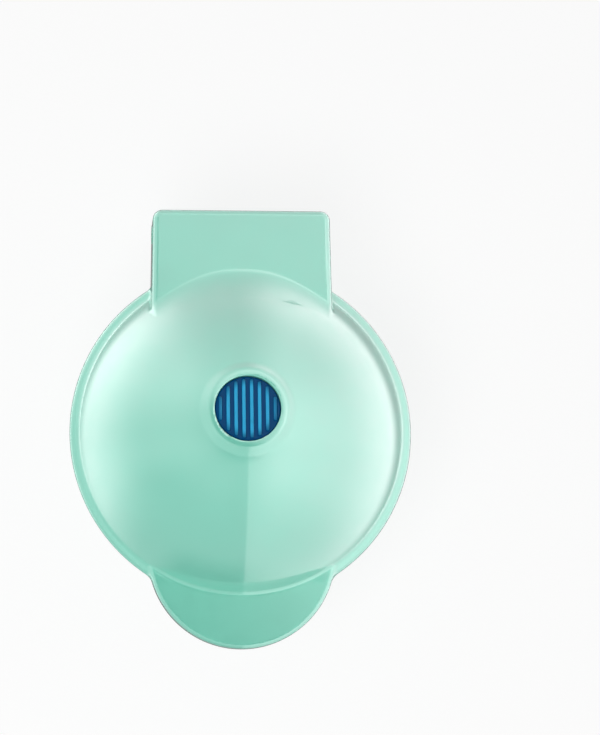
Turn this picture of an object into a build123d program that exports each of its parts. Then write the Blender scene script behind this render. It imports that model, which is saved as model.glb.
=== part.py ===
from build123d import *

import os
from math import asin, cos, degrees, radians, sin, sqrt, tan

# Countertop pie maker: a round clamshell cooker with a domed lid that swings on a hinge block.
# Millimetres. The origin lies on the table under the middle of the round body, +Z is up and
# +Y points to the hinge, so the two handle tabs point to -Y.

# ---------------------------------------------------------------- driving dimensions
# Plan
brim_radius = 63.5            # widest part of the round lid
brim_overhang = 2.5           # brim beyond the lid skirt
rim_inset = 3.5               # base rim inside the brim
rear_reach = 82.2             # round body's centre to the back of the hinge block
front_reach = 80.1            # round body's centre to the tip of the lid's handle tab
block_width = 66.0            # hinge block across its back
block_draft = 0.9             # degrees that each side of the block opens towards the body
block_corner = 3.5            # upright corners of the hinge block
block_edge = 2.0              # rounded top edge of the hinge block
base_block_inset = 2.0        # base block inside the lid block, at each side
base_back_inset = 0.5         # back of the base block inside that of the lid block
block_root = 30.0             # where the hinge block's form starts, inside the round body
handle_radius = 34.5          # round end of the lid's handle tab
base_handle_inset = 3.0       # base handle tab inside the lid's
handle_edge = 1.5             # rounded edge of the handle tabs
handle_root = 20.0            # where a handle tab's form starts, inside the round body

# Levels
foot_height = 4.0
base_height = 47.0            # base shell, from its underside to its rim
base_block_lift = 4.0         # underside of the base block above that of the bowl
parting_gap = 1.5             # between base rim and lid skirt
skirt_height = 6.0            # lid skirt below the brim
brim_thickness = 3.0
dome_rise = 34.5              # crown of the dome above the brim
dome_inset = 3.2              # foot of the dome inside the brim
block_rise = 8.5              # top of the hinge block above the brim
handle_rise = 0.8             # top of the lid's handle tab above the brim
lid_handle_thickness = 7.3
base_handle_thickness = 8.4
base_handle_drop = 1.6        # top of the base handle tab below the base rim

# Mouldings
wall = 2.5
liner_thickness = 2.0
liner_lap = 0.2               # by which a liner's strip reaches into its ring
brim_round = 1.2
block_fillet = 3.0            # between the hinge block and the dome
dome_fillet = 2.0             # between the dome and the brim or the handle tab
bowl_top_inset = 2.0          # bowl below the base rim band
bowl_side_inset = 9.5         # bowl inside the base rim at the top of its rounded bottom corner
bowl_floor_inset = 6.0        # flat of the bowl's bottom inside that
bowl_corner_height = 6.5
bowl_bulge_out = 1.6          # rounded corner beyond the straight line between its ends
bowl_bulge_down = 1.2
rim_band_height = 11.0

# Indicator window, modelled at the crown of the dome and then leant back with its holder and lamp
window_offset = 4.0           # window's centre behind the crown
lens_radius = 11.8
collar_top_width = 1.7
collar_slope_width = 4.3
collar_rise = 0.9             # collar above the dome at its inner edge
collar_root = 1.0             # collar sunk into the dome at its outer edge
collar_depth = 3.0            # collar sunk into the dome round the lens
lens_recess = 1.2
lens_flange_width = 2.1
lens_flange_thickness = 1.5
lens_pad_drop = 3.4           # seat of the lens flange below the lens face
lens_rib_margin = 1.2         # ends of the ribs inside the lens edge
lens_rib_pitch = 2.82
lens_rib_width = 1.1
lens_rib_height = 0.5

# Cooking plates
plate_thickness = 3.0
plate_rim_gap = 1.0           # plate flange inside the base rim's inner wall
plate_land = 9.5              # width of the flange beyond the well
plate_flange_drop = 0.6       # lower flange below the base rim
plate_ring_gap = 1.3          # between the liner's ring and the well's wall
plate_screw_margin = 2.3      # plate screws inside the flange's edge
well_taper = 10.0             # well floor inside the well's top edge
well_floor_round = 6.0
crimp_gap = 0.6               # closed gap between the crimping ring and the lower flange
crimp_width = 6.5
crimp_height = 2.0
crimp_flute_count = 48
crimp_flute_radius = 0.8
crimp_offset = 0.5            # crimping ring beyond the well's top edge
crimp_slope = 0.5             # outer side of the crimping ring, wider at its root
recess_depth = 6.0            # hollow of the upper plate above its flange face
recess_taper = 9.0            # roof of that hollow inside the well's top edge
recess_edge_inset = 1.5       # lower edge of the hollow inside the crimping ring
recess_edge_rise = 0.8
recess_back_offset = 2.5      # back of the upper plate's roof beyond its front
plate_back_gap = 1.0          # between the upper plate's slope and the lid liner's ring
plate_thread_depth = 1.8      # grip of the plate screws in a flange
plate_tip_gap = 0.3
post_tip_gap = 1.0            # between a clamp screw's tip and the plate

# Heaters and what holds them
heater_tube_radius = 3.25
lower_heater_offset = 9.0     # lower heater's centre line outside the clamp posts
upper_heater_offset = 11.0    # upper heater's centre line outside the clamp posts
heater_end_half_gap = 6.0
heater_end_turn = 6.0         # bend where the ring turns into its straight ends
heater_pin_radius = 1.4
heater_pin_length = 9.0
heater_end_inset = 1.0        # sheathed ends of the heater inside the well's top edge
clamp_thickness = 0.8
clamp_overhang = 4.5          # clamp disc beyond the heater's centre line
clamp_post_radius = 4.0
clamp_post_offset = 6.5       # posts outside the clamps' bore
shield_thickness = 0.8
shield_floor_gap = 1.0        # between the base shield and the bowl's floor
shield_screw_margin = 1.7     # edge of the shield's flange beyond the plate screws
shield_headroom = 0.4         # between the base shield's floor and the fuse clip
lid_shield_headroom = 2.5     # between the upper heater and the lid shield's roof
shield_slot_gap = 1.0         # round the heater ends where they leave a shield
shield_slot_depth = 3.0       # by which the base shield's slot reaches in under the well
shield_side_gap = 0.3         # between a shield's side and the liner's ring
shield_bowl_gap = 0.5         # between the base shield's floor and the bowl's corner
shield_side_share = 0.6       # wall of a shield's slanted side, measured flat
lid_shield_margin = 6.0       # lid shield's roof beyond that of the upper plate
thermostat_radius = 8.0
thermostat_step = 1.5         # smaller top of the thermostat that touches the plate
thermostat_blade_reach = 3.5
thermostat_blade_half_width = 1.6
thermostat_blade_thickness = 0.8
thermostat_space = 1.0        # between the blades and the clamp's bore
thermostat_strap_width = 9.0
thermostat_strap_overhang = 4.0
fuse_radius = 1.6
fuse_length = 11.0
fuse_wire_radius = 0.5
fuse_wire_length = 4.0
fuse_clip_wall = 0.6
fuse_clip_length = 5.0
fuse_clip_reach = 4.0         # flat wings of the clip to each side of the fuse

# Hinge
heel_radius = 8.0             # axis to the back and to the underside of the lid block
ear_radius = 6.0
ear_neck_half = 4.0
ear_inner_x = 10.0
ear_width = 6.0
ear_side_gap = 0.6            # between an ear and the lid block's rib
slot_side_gap = 0.1           # slot for the ears inside those ribs
rib_width = 3.0
pin_radius = 2.0
cap_radius = 3.4
cap_seat_depth = 1.2
cap_rise = 0.2                # caps stand proud of the block by this much
pin_tail = 0.5                # pins beyond the inner face of an ear
lead_slot_margin = 2.0        # slot for the leads inside the ears
lid_open_angle = 100.0

# Fasteners, feet, cord inlet, leads
screw_radius = 1.25
screw_head_radius = 2.5
screw_head_height = 1.6
boss_radius = 3.2
screw_sink = 1.8              # depth of the pockets that hide the housing screws' heads
screw_pocket_radius = 2.8
screw_pocket_wall = 1.2
screw_skin = 1.2              # material left above the tip of a lid screw
screw_tip_gap = 0.2           # between a screw's tip and the end of its hole
lid_screw_length = 8.0
column_foot_height = 6.0      # base shell's bosses under the liner's long columns
handle_screw_x = 17.0
handle_screw_offset = 19.0    # handle screws in front of the centre of the tab's round end
handle_screw_skin = 0.8       # cover left above the tip of a base handle screw
column_screw_grip = 7.0       # how far a base screw runs into a column
foot_radius = 6.5
foot_margin = 1.0             # feet inside the flat of the bowl's bottom
foot_seat_depth = 1.0
foot_chamfer = 0.8
inlet_rise = 16.0             # cord inlet above the underside of the base block
inlet_bore_radius = 3.4
inlet_body_radius = 5.4
inlet_flange_radius = 7.2
inlet_flange_thickness = 1.6
inlet_lip = 0.3               # gland beyond the back of the base
lead_radius = 1.1
lead_end_gap = 1.0            # between the leads' ends and the gland
lead_straight = 6.0           # straight run of a lead at its heater and at the gland
lead_half_gap = 1.6           # supply leads to each side of the middle, at the gland
riser_half_gap = 5.0          # leads to the lid, low in the base
riser_height = 4.5            # those leads above the supply leads
riser_turn = 7.5              # height over which they turn up to the hinge
hinge_lead_half_gap = 4.0     # leads to the lid, where they pass the hinge axis
lid_lead_straight = 3.5       # straight run of a lid lead at each end
hinge_lead_gap = 0.5          # between the two halves of those leads on the hinge axis
crimp_wall = 0.6
crimp_length = 7.0
lamp_radius = 2.6
lamp_length = 9.0
lamp_socket_drop = 2.0        # socket's lower edge above the lamp's end
lamp_head_gap = 0.3           # top of the lamp below the lens
lamp_socket_wall = 1.3
lamp_ear_x = 19.0
lamp_boss_height = 2.5
lamp_screw_grip = 1.8

# Clearances
seat_clearance = 0.05         # pieces that stay put in a round hole or pocket
running_clearance = 0.05      # pin in an ear, on the radius
drop_clearance = 0.15         # covers that drop into an opening
pin_clearance = 0.4           # crimped sleeve behind the heater pin's tip
swing_clearance = 0.4         # lid parts that pass the hinge ears

# ---------------------------------------------------------------- levels and radii that follow
base_bottom = foot_height
base_rim = base_bottom + base_height
block_bottom = base_bottom + base_block_lift
lid_bottom = base_rim + parting_gap
brim_bottom = lid_bottom + skirt_height
brim_top = brim_bottom + brim_thickness
dome_top = brim_top + dome_rise
block_top = brim_top + block_rise
lid_handle_top = brim_top + handle_rise
lid_handle_bottom = lid_handle_top - lid_handle_thickness
base_handle_top = base_rim - base_handle_drop
base_handle_bottom = base_handle_top - base_handle_thickness

skirt_radius = brim_radius - brim_overhang
skirt_inner = skirt_radius - wall
rim_radius = brim_radius - rim_inset
rim_inner = rim_radius - wall
dome_foot_radius = brim_radius - dome_inset
dome_radius = (dome_foot_radius**2 + dome_rise**2) / (2 * dome_rise)
dome_centre = dome_top - dome_radius
handle_centre_y = handle_radius - front_reach
bowl_side_radius = rim_radius - bowl_side_inset
bowl_floor_radius = bowl_side_radius - bowl_floor_inset
foot_circle = bowl_floor_radius - foot_radius - foot_margin
base_rear = rear_reach - base_back_inset

axis_y = rear_reach - heel_radius
axis_z = lid_bottom + heel_radius
rib_inner_x = ear_inner_x + ear_width + ear_side_gap
slot_half = rib_inner_x - slot_side_gap
lid_cover_end = axis_y - heel_radius + wall / 2
block_side_x = block_width / 2 + heel_radius * tan(radians(block_draft))
cap_seat_x = block_side_x - cap_seat_depth

lower_flange_top = base_rim - plate_flange_drop
lower_flange_bottom = lower_flange_top - plate_thickness
shield_floor_bottom = base_bottom + wall + shield_floor_gap
fuse_clip_bottom = shield_floor_bottom + shield_thickness + shield_headroom
lower_clamp_bottom = fuse_clip_bottom + fuse_clip_wall + 2 * (fuse_radius + seat_clearance)
lower_clamp_top = lower_clamp_bottom + clamp_thickness
lower_plate_back = lower_clamp_top + 2 * (heater_tube_radius + seat_clearance)
well_floor = lower_plate_back + plate_thickness
upper_flange_bottom = lower_flange_top + crimp_gap + crimp_height
upper_flange_top = upper_flange_bottom + plate_thickness
upper_plate_back = upper_flange_bottom + recess_depth + plate_thickness
plate_flange_radius = rim_inner - plate_rim_gap
plate_screw_circle = plate_flange_radius - plate_screw_margin
well_top_radius = plate_flange_radius - plate_land
well_floor_radius = well_top_radius - well_taper
recess_roof_radius = well_top_radius - recess_taper
liner_ring_inner = well_top_radius + plate_thickness + plate_ring_gap
base_ring_bottom = lower_flange_bottom - liner_thickness
lid_ring_top = upper_flange_top + liner_thickness

collar_inner = lens_radius + seat_clearance
collar_top_radius = collar_inner + collar_top_width
collar_outer = collar_top_radius + collar_slope_width
collar_top = dome_centre + sqrt(dome_radius**2 - collar_top_radius**2) + collar_rise
lens_face = collar_top - lens_recess
lens_seat = lens_face - lens_pad_drop
lens_flange_radius = lens_radius + lens_flange_width
lamp_plate_top = lens_seat - lens_flange_thickness
lamp_plate_bottom = lamp_plate_top - liner_thickness
lamp_low = lamp_plate_top - lamp_head_gap - lamp_length
lens_rib_reach = lens_radius - lens_rib_margin
lens_rib_count = int((2 * lens_rib_reach - lens_rib_width) / lens_rib_pitch) + 1

clamp_bore_radius = thermostat_radius + thermostat_blade_reach + thermostat_space
clamp_post_circle = clamp_bore_radius + clamp_post_offset
lower_heater_ring = clamp_post_circle + lower_heater_offset
upper_heater_ring = clamp_post_circle + upper_heater_offset
upper_heater_level = upper_plate_back + heater_tube_radius + seat_clearance
lower_heater_level = lower_plate_back - heater_tube_radius - seat_clearance
upper_clamp_bottom = upper_plate_back + 2 * (heater_tube_radius + seat_clearance)
fuse_level = lower_clamp_bottom - fuse_radius - seat_clearance
fuse_y = -lower_heater_ring
heater_end_reach = well_top_radius - heater_end_inset
inlet_height = block_bottom + inlet_rise
pin_end = heater_end_reach + heater_pin_length
crimp_start = pin_end - crimp_length / 2
lead_start = pin_end + pin_clearance


# ---------------------------------------------------------------- shape helpers
def turned(*outline):
    """Solid turned about the Z axis from a closed outline of (radius, height) points."""
    return revolve(make_face(Plane.XZ * Polyline(*outline, close=True)), Axis.Z)


def disc(radius, low, high, x=0.0, y=0.0):
    """Upright cylinder between two levels."""
    upright = (Align.CENTER, Align.CENTER, Align.MIN)
    return Pos(x, y, low) * Cylinder(radius, high - low, align=upright)


def ring(outer, inner, low, high):
    """Flat ring round the Z axis between two levels."""
    return disc(outer, low, high) - disc(inner, low - 1, high + 1)


def cross_rod(radius, x_low, x_high, y, z):
    """Cylinder along X between two places."""
    return Pos((x_low + x_high) / 2, y, z) * Rot(0, 90, 0) * Cylinder(radius, x_high - x_low)


def long_rod(radius, y_low, y_high, x, z):
    """Cylinder along Y between two places."""
    return Pos(x, (y_low + y_high) / 2, z) * Rot(90, 0, 0) * Cylinder(radius, y_high - y_low)


def bar(x_span, y_span, z_span):
    """Box between three pairs of faces."""
    size = [high - low for low, high in (x_span, y_span, z_span)]
    middle = [(low + high) / 2 for low, high in (x_span, y_span, z_span)]
    return Pos(*middle) * Box(*size)


def slab(face, low, high):
    """Plan outline raised between two levels."""
    return extrude(Plane.XY.offset(low) * face, high - low)


def block_plan(inset, rear, corner=0.0):
    """Plan of the hinge block, from inside the round body to its back."""
    half_rear = block_width / 2 - inset
    half_front = half_rear + (rear_reach - block_root) * tan(radians(block_draft))
    back = rear - inset
    corners = [(half_rear, back), (-half_rear, back), (-half_front, block_root), (half_front, block_root)]
    plan = make_face(Polyline(*corners, close=True))
    if corner:
        plan = fillet(plan.vertices().filter_by(lambda v: v.Y > block_root + 1), corner)
    return plan


def handle_plan(inset):
    """Plan of a handle tab: a half round with straight sides that run into the round body."""
    radius = handle_radius - inset
    sides = Polyline(
        (radius, handle_centre_y),
        (radius, -handle_root),
        (-radius, -handle_root),
        (-radius, handle_centre_y),
    )
    nose = ThreePointArc(
        (-radius, handle_centre_y), (0, handle_centre_y - radius), (radius, handle_centre_y)
    )
    return make_face([*sides.edges(), *nose.edges()])


def outer_edges(form, number, root):
    """Edges of a form's lowest (0) or highest (-1) face that don't lie at its root in the body."""
    face = form.faces().sort_by(Axis.Z)[number]
    return face.edges().filter_by(lambda edge: abs(edge.center().Y) > root + 1)


def ring_places(count, circle, first=0.0):
    """Evenly spaced places on a circle, as (x, y)."""
    angles = [radians(first + 360.0 * number / count) for number in range(count)]
    return [(circle * cos(angle), circle * sin(angle)) for angle in angles]


def screw_up(x, y, under_head, tip):
    """Pan-head screw that points up: its head hangs below the level under_head."""
    return disc(screw_radius, under_head, tip, x, y) + disc(
        screw_head_radius, under_head - screw_head_height, under_head, x, y
    )


def screw_down(x, y, under_head, tip):
    """Pan-head screw that points down: its head stands above the level under_head."""
    return disc(screw_radius, tip, under_head, x, y) + disc(
        screw_head_radius, under_head, under_head + screw_head_height, x, y
    )


def screw_hole(x, y, low, high):
    """Hole that a screw's shank fills."""
    return disc(screw_radius + seat_clearance, low, high, x, y)


def lead(*points, bend=4.0):
    """Insulated wire along straight runs joined by arcs."""
    path = FilletPolyline(*points, radius=bend) if len(points) > 2 else Line(*points)
    return sweep(Plane(origin=path @ 0, z_dir=path % 0) * Circle(lead_radius), path)


# ---------------------------------------------------------------- places that several pieces share
window_lean = degrees(asin(window_offset / dome_radius))
window_place = Pos(0, 0, dome_centre) * Rot(-window_lean, 0, 0) * Pos(0, 0, -dome_centre)
screw_pocket_reach = screw_pocket_radius + screw_pocket_wall + 2 * drop_clearance
block_screw_x = block_width / 2 - wall - screw_pocket_reach
lid_block_screw_y = lid_cover_end - screw_pocket_reach
base_block_screw_y = base_rear - wall - screw_pocket_reach
handle_screw_y = handle_centre_y - handle_screw_offset
lid_screw_places = [
    (-block_screw_x, lid_block_screw_y, lid_bottom, block_top),
    (block_screw_x, lid_block_screw_y, lid_bottom, block_top),
    (-handle_screw_x, handle_screw_y, lid_handle_bottom, lid_handle_top),
    (handle_screw_x, handle_screw_y, lid_handle_bottom, lid_handle_top),
]
base_handle_screw_y = handle_screw_y + base_handle_inset
base_block_screw_x = block_screw_x - base_block_inset
base_column_bottom = block_bottom + wall + column_foot_height
base_cover_under = base_handle_top - liner_thickness
base_screw_places = [
    (-base_block_screw_x, base_block_screw_y, block_bottom, base_column_bottom),
    (base_block_screw_x, base_block_screw_y, block_bottom, base_column_bottom),
    (-handle_screw_x, base_handle_screw_y, base_handle_bottom, base_cover_under),
    (handle_screw_x, base_handle_screw_y, base_handle_bottom, base_cover_under),
]
plate_screw_places = ring_places(4, plate_screw_circle, 45)
foot_places = ring_places(4, foot_circle, 45)
clamp_post_places = ring_places(4, clamp_post_circle)


# ---------------------------------------------------------------- lid
def dome_body():
    """Skirt, brim and dome of the lid as one solid form."""
    half_angle = asin(dome_foot_radius / dome_radius) / 2
    middle = (dome_radius * sin(half_angle), dome_centre + dome_radius * cos(half_angle))
    rounded = brim_round * (1 - sqrt(0.5))
    edge = brim_radius
    with BuildLine(Plane.XZ) as outline:
        Polyline((0, lid_bottom), (skirt_radius, lid_bottom), (skirt_radius, brim_bottom))
        Line((skirt_radius, brim_bottom), (edge - brim_round, brim_bottom))
        ThreePointArc(
            (edge - brim_round, brim_bottom),
            (edge - rounded, brim_bottom + rounded),
            (edge, brim_bottom + brim_round),
        )
        Line((edge, brim_bottom + brim_round), (edge, brim_top - brim_round))
        ThreePointArc(
            (edge, brim_top - brim_round),
            (edge - rounded, brim_top - rounded),
            (edge - brim_round, brim_top),
        )
        Line((edge - brim_round, brim_top), (dome_foot_radius, brim_top))
        ThreePointArc((dome_foot_radius, brim_top), middle, (0, dome_top))
        Line((0, dome_top), (0, lid_bottom))
    return revolve(make_face(outline.line), Axis.Z)


def block_side(depth):
    """Side view of the lid block, a depth inside its outer faces, as a slab across the block."""
    radius = heel_radius - depth
    low = axis_z - radius
    diagonal = radius * sqrt(0.5)
    with BuildLine(Plane.YZ) as outline:
        Line((block_root, low), (axis_y, low))
        ThreePointArc((axis_y, low), (axis_y + diagonal, axis_z - diagonal), (axis_y + radius, axis_z))
        Polyline(
            (axis_y + radius, axis_z),
            (axis_y + radius, block_top - depth),
            (block_root, block_top - depth),
            (block_root, low),
        )
    return extrude(make_face(outline.line), block_width, both=True)


def on_dome(edge):
    """True for an edge that lies on the dome's outer surface."""
    centre = Vector(0, 0, dome_centre)
    points = [edge.position_at(share) for share in (0.1, 0.5, 0.9)]
    return all(abs((point - centre).length - dome_radius) < 0.001 for point in points)


def lid_form():
    """Outer form of the lid: dome, hinge block and handle tab with their blends."""
    block = block_side(0) & slab(block_plan(0, rear_reach, corner=block_corner), lid_bottom, block_top)
    form = dome_body() + fillet(outer_edges(block, -1, block_root), block_edge)
    crossing = [
        edge for edge in form.edges() if on_dome(edge) and abs(edge.position_at(0.5).Z - block_top) < 0.001
    ]
    form = fillet(crossing, block_fillet)
    tab = slab(handle_plan(0), lid_handle_bottom, lid_handle_top)
    form = form + fillet(outer_edges(tab, -1, handle_root), handle_edge)
    foot = [edge for edge in form.edges() if on_dome(edge) and edge.center().Z < lid_handle_top + 0.5]
    return fillet(foot, dome_fillet)


def collar():
    """Low raised ring round the window."""
    sunk = collar_top - collar_depth
    outer_level = dome_centre + sqrt(dome_radius**2 - collar_outer**2)
    return window_place * turned(
        (collar_inner, sunk),
        (collar_inner, collar_top),
        (collar_top_radius, collar_top),
        (collar_outer, outer_level),
        (collar_outer, outer_level - collar_root),
    )


def lid_cavity():
    """Hollow of the lid shell, open below."""
    inner = dome_radius - wall
    meet = dome_centre + sqrt(inner**2 - skirt_inner**2)
    half_angle = asin(skirt_inner / inner) / 2
    middle = (inner * sin(half_angle), dome_centre + inner * cos(half_angle))
    low = lid_bottom - 1
    with BuildLine(Plane.XZ) as outline:
        Polyline((0, low), (skirt_inner, low), (skirt_inner, meet))
        ThreePointArc((skirt_inner, meet), middle, (0, dome_centre + inner))
        Line((0, dome_centre + inner), (0, low))
    hollow = revolve(make_face(outline.line), Axis.Z)
    hollow += block_side(wall) & slab(block_plan(wall, rear_reach), lid_bottom, block_top)
    hollow += slab(block_plan(wall, lid_cover_end + wall), low, axis_z)
    hollow += slab(handle_plan(wall), low, lid_handle_top - wall)
    return hollow


def make_lid_shell():
    """Outer moulding of the lid: dome, brim, handle tab and hinge block, hollow below."""
    form = lid_form()
    shell = form + collar() - lid_cavity()
    shell += window_place * disc(lens_flange_radius + wall, lens_seat, lens_seat + wall)
    shell -= window_place * disc(collar_inner, lens_seat - 1, dome_top + 9)
    for side in (-1, 1):
        near, far = sorted((side * rib_inner_x, side * (rib_inner_x + rib_width)))
        rib = bar((near, far), (lid_cover_end, rear_reach), (lid_bottom, block_top))
        shell += rib & form & block_side(0)
    for x, y, face, roof in lid_screw_places:
        shell += disc(boss_radius, face + screw_sink + liner_thickness, roof - wall / 2, x, y)
        shell -= screw_hole(x, y, face, roof - screw_skin)
    for side in (-1, 1):
        x = side * lamp_ear_x
        shell += window_place * disc(boss_radius, lamp_plate_top, lamp_plate_top + lamp_boss_height, x, 0)
        hole_end = lamp_plate_top + lamp_screw_grip + screw_tip_gap
        shell -= window_place * screw_hole(x, 0, lamp_plate_top - 1, hole_end)
    reach = ear_neck_half / cos(radians(lid_open_angle - 90)) + swing_clearance
    slot_top = axis_z + heel_radius * tan(radians(lid_open_angle - 90)) + reach
    slot_front = axis_y - ear_neck_half - swing_clearance
    shell -= bar((-slot_half, slot_half), (slot_front, rear_reach + 1), (lid_bottom - 1, slot_top))
    shell -= cross_rod(pin_radius + seat_clearance, -block_width, block_width, axis_y, axis_z)
    for side in (-1, 1):
        inner, outer = sorted((side * cap_seat_x, side * block_width))
        shell -= cross_rod(cap_radius + seat_clearance, inner, outer, axis_y, axis_z)
    return shell


def liner_strip(plan, radius, thickness, low, high):
    """Stretch of the round wall that a liner carries where a tab or block opens the shell."""
    return slab(plan, low, high) & ring(radius, radius - thickness, low, high)


def make_lid_liner():
    """Cover that closes the lid from below and carries the upper plate."""
    outer = skirt_inner - drop_clearance
    liner = ring(outer, liner_ring_inner, upper_flange_top, lid_ring_top)
    tab = handle_plan(wall + drop_clearance)
    block = block_plan(wall + drop_clearance, lid_cover_end + wall)
    inside = disc(skirt_inner - 1.0, lid_bottom - 1, block_top)
    liner += slab(tab, lid_handle_bottom, lid_handle_bottom + liner_thickness) - inside
    liner += slab(block, lid_bottom, lid_bottom + liner_thickness) - inside
    for plan in (tab, block):
        liner += liner_strip(plan, skirt_radius, wall + drop_clearance + liner_lap, lid_bottom, lid_ring_top)
    for x, y, face, _ in lid_screw_places:
        pocket = screw_pocket_radius + screw_pocket_wall
        liner += disc(pocket, face, face + screw_sink + liner_thickness, x, y)
        liner -= disc(screw_pocket_radius, face - 1, face + screw_sink, x, y)
        liner -= screw_hole(x, y, face, face + screw_sink + liner_thickness + 1)
    for x, y in plate_screw_places:
        liner -= screw_hole(x, y, upper_flange_top - 1, lid_ring_top + 1)
    return liner


def make_indicator_lens():
    """Ribbed round window that sits in the collar, with a flange behind it."""
    lens = disc(lens_radius, lens_seat - lens_flange_thickness, lens_face)
    lens += disc(lens_flange_radius, lens_seat - lens_flange_thickness, lens_seat)
    for number in range(lens_rib_count):
        x = (number - (lens_rib_count - 1) / 2) * lens_rib_pitch
        half = lens_rib_width / 2
        half_length = sqrt(lens_rib_reach**2 - (abs(x) + half) ** 2)
        top = lens_face + lens_rib_height
        lens += bar((x - half, x + half), (-half_length, half_length), (lens_face, top))
    return window_place * lens


def make_lamp_holder():
    """Moulded bridge that holds the window in place and the lamp behind it."""
    holder = disc(lens_flange_radius, lamp_plate_bottom, lamp_plate_top)
    holder += bar((-lamp_ear_x, lamp_ear_x), (-boss_radius, boss_radius), (lamp_plate_bottom, lamp_plate_top))
    for side in (-1, 1):
        holder += disc(boss_radius, lamp_plate_bottom, lamp_plate_top, side * lamp_ear_x, 0)
        holder -= screw_hole(side * lamp_ear_x, 0, lamp_plate_bottom - 1, lamp_plate_top + 1)
    socket = lamp_radius + lamp_socket_wall
    holder += disc(socket, lamp_low + lamp_socket_drop, lamp_plate_bottom)
    holder -= disc(lamp_radius + seat_clearance, 0, dome_top)
    return window_place * holder


def make_lamp_holder_screws():
    """Two screws that fix the lamp holder under the dome."""
    tip = lamp_plate_top + lamp_screw_grip
    return [window_place * screw_up(side * lamp_ear_x, 0, lamp_plate_bottom, tip) for side in (-1, 1)]


def make_pilot_lamp():
    """Small glass lamp with a rounded top."""
    shoulder = lamp_low + lamp_length - lamp_radius
    lamp = disc(lamp_radius, lamp_low, shoulder) + Pos(0, 0, shoulder) * Sphere(lamp_radius)
    return window_place * lamp


def make_upper_plate():
    """Upper cooking plate: shallow roof, fluted crimping ring and mounting flange."""
    crimp_bottom = upper_flange_bottom - crimp_height
    crimp_inner = well_top_radius + crimp_offset
    crimp_outer = crimp_inner + crimp_width
    roof = upper_flange_bottom + recess_depth
    plate = turned(
        (0, roof),
        (recess_roof_radius, roof),
        (crimp_inner - recess_edge_inset, upper_flange_bottom + recess_edge_rise),
        (crimp_inner, crimp_bottom),
        (crimp_outer, crimp_bottom),
        (crimp_outer + crimp_slope, upper_flange_bottom),
        (plate_flange_radius, upper_flange_bottom),
        (plate_flange_radius, upper_flange_top),
        (liner_ring_inner - plate_back_gap, upper_flange_top),
        (recess_roof_radius + recess_back_offset, upper_plate_back),
        (0, upper_plate_back),
    )
    flute = Pos((crimp_inner + crimp_outer) / 2, 0, crimp_bottom) * Rot(0, 90, 0)
    flute = flute * Cylinder(crimp_flute_radius, crimp_width + 4)
    plate -= [Rot(0, 0, 360 * number / crimp_flute_count) * flute for number in range(crimp_flute_count)]
    post_top = upper_plate_back + 2 * heater_tube_radius
    for x, y in clamp_post_places:
        plate += disc(clamp_post_radius, upper_plate_back, post_top, x, y)
        plate -= screw_hole(x, y, upper_plate_back, post_top)
    for x, y in plate_screw_places:
        plate -= screw_hole(x, y, upper_flange_top - plate_thread_depth - plate_tip_gap, upper_flange_top)
    return plate


def heater(ring_radius, level):
    """Tubular heater bent to a horseshoe, with both ends and their pins pointing back."""
    gap, turn = heater_end_half_gap, heater_end_turn
    turn_y = sqrt((ring_radius + turn) ** 2 - (gap + turn) ** 2)
    share = ring_radius / (ring_radius + turn)
    leave = ((gap + turn) * share, turn_y * share)
    towards = Vector(-leave[0], -leave[1], 0).normalized() + Vector(-1, 0, 0)
    middle = Vector(gap + turn, turn_y, 0) + towards.normalized() * turn
    with BuildLine() as route:
        Line((-gap, heater_end_reach), (-gap, turn_y))
        ThreePointArc((-gap, turn_y), (-middle.X, middle.Y), (-leave[0], leave[1]))
        ThreePointArc((-leave[0], leave[1]), (0, -ring_radius), leave)
        ThreePointArc(leave, (middle.X, middle.Y), (gap, turn_y))
        Line((gap, turn_y), (gap, heater_end_reach))
    start = Plane(origin=(-gap, heater_end_reach, 0), z_dir=(0, -1, 0))
    sheath = Pos(0, 0, level) * sweep(start * Circle(heater_tube_radius), route.line)
    for side in (-1, 1):
        tip = heater_end_reach + heater_pin_length
        sheath += long_rod(heater_pin_radius, heater_end_reach - 1, tip, side * gap, level)
    return sheath


def clamp_disc(ring_radius, low):
    """Sheet-metal disc that presses a heater against its plate."""
    disc_radius = ring_radius + clamp_overhang
    clamp = ring(disc_radius, clamp_bore_radius, low, low + clamp_thickness)
    for x, y in clamp_post_places:
        clamp -= screw_hole(x, y, low - 1, low + clamp_thickness + 1)
    return clamp


def make_upper_clamp_screws():
    """Four screws through the upper clamp into the plate's posts."""
    top = upper_clamp_bottom + clamp_thickness
    return [screw_down(x, y, top, upper_plate_back + post_tip_gap) for x, y in clamp_post_places]


def shield_pan(seat, direction, depth, floor_radius):
    """Sheet-metal pan that screens a heater: a flange on the liner ring, a sloped side and a floor."""
    outer = plate_screw_circle + shield_screw_margin
    edge = liner_ring_inner + shield_side_gap
    t = shield_thickness
    levels = [seat, seat + direction * t, seat + direction * depth, seat + direction * (depth - t)]
    pan = turned(
        (edge - t, levels[0]),
        (outer, levels[0]),
        (outer, levels[1]),
        (edge, levels[1]),
        (floor_radius, levels[2]),
        (0, levels[2]),
        (0, levels[3]),
        (floor_radius - t * shield_side_share, levels[3]),
    )
    for x, y in plate_screw_places:
        pan -= screw_hole(x, y, min(levels[:2]) - 1, max(levels[:2]) + 1)
    return pan


def make_lid_heat_shield():
    """Pan over the upper heater, slotted at the back for the heater's ends."""
    depth = 2 * heater_tube_radius + recess_depth + lid_shield_headroom
    pan = shield_pan(lid_ring_top, 1, depth, recess_roof_radius + lid_shield_margin)
    half = heater_end_half_gap + heater_tube_radius + shield_slot_gap
    low = upper_heater_level - heater_tube_radius - shield_slot_gap
    high = upper_heater_level + heater_tube_radius + shield_slot_gap
    return pan - bar((-half, half), (recess_roof_radius, skirt_radius), (low, high))


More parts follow.
